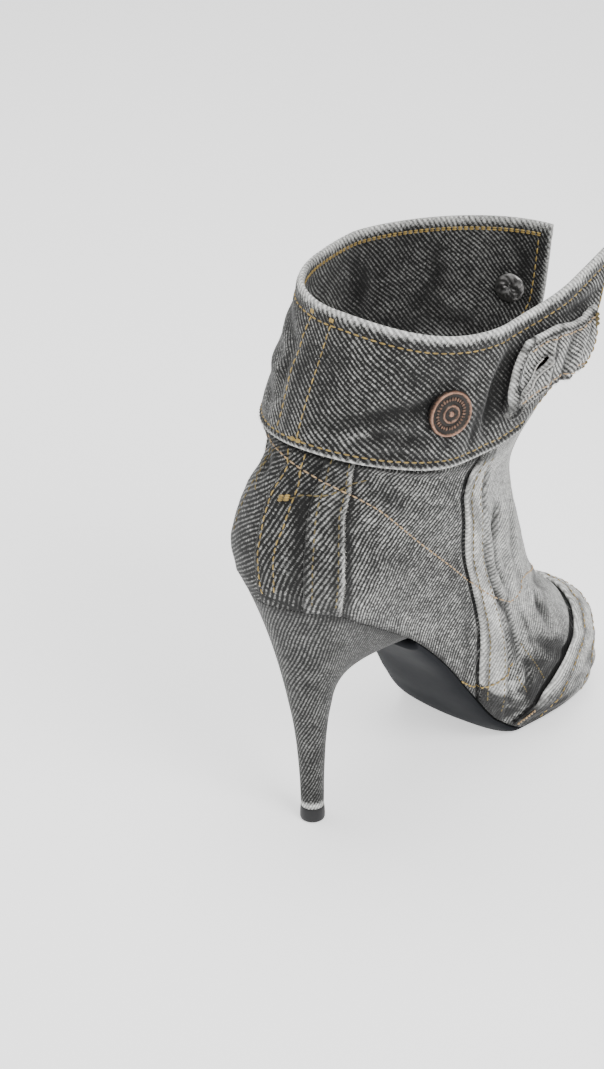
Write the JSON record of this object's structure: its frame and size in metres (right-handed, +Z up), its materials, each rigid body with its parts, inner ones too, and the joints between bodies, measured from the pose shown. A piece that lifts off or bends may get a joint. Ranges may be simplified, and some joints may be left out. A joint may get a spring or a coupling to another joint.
{
  "type": "peep toe ankle boot",
  "caption": "Right peep toe ankle boot in washed denim with a high covered stiletto heel, an open waistband cuff, a buttonhole tab and metal buttons.",
  "frame": {"origin": "middle of the heel tip's lower face, on the ground", "axes": "+Z up, -Y towards the toe, -X towards the little-toe side"},
  "size_m": [0.0943, 0.2032, 0.2173],
  "materials": {
    "denim": "washed grey twill",
    "pale_denim": "worn pale twill",
    "black_rubber": "satin",
    "sole_black": "smooth satin",
    "antique_copper": "antique copper plating",
    "tack_metal": "dull",
    "insole_lining": "matt"
  },
  "bodies": {
    "root": {"upper": "denim", "outsole": "sole_black", "insole": "insole_lining", "heel": "denim", "heel_tip": "black_rubber", "cuff": "denim", "toe_band": "pale_denim", "lateral_strip": "denim", "medial_strip": "denim", "lateral_quarter_seam": "denim", "medial_quarter_seam": "denim", "adjuster_tab": "denim", "button": "antique_copper", "strap_button": "antique_copper", "closure_button": "antique_copper", "tack_back": "tack_metal"}
  },
  "joints": []
}
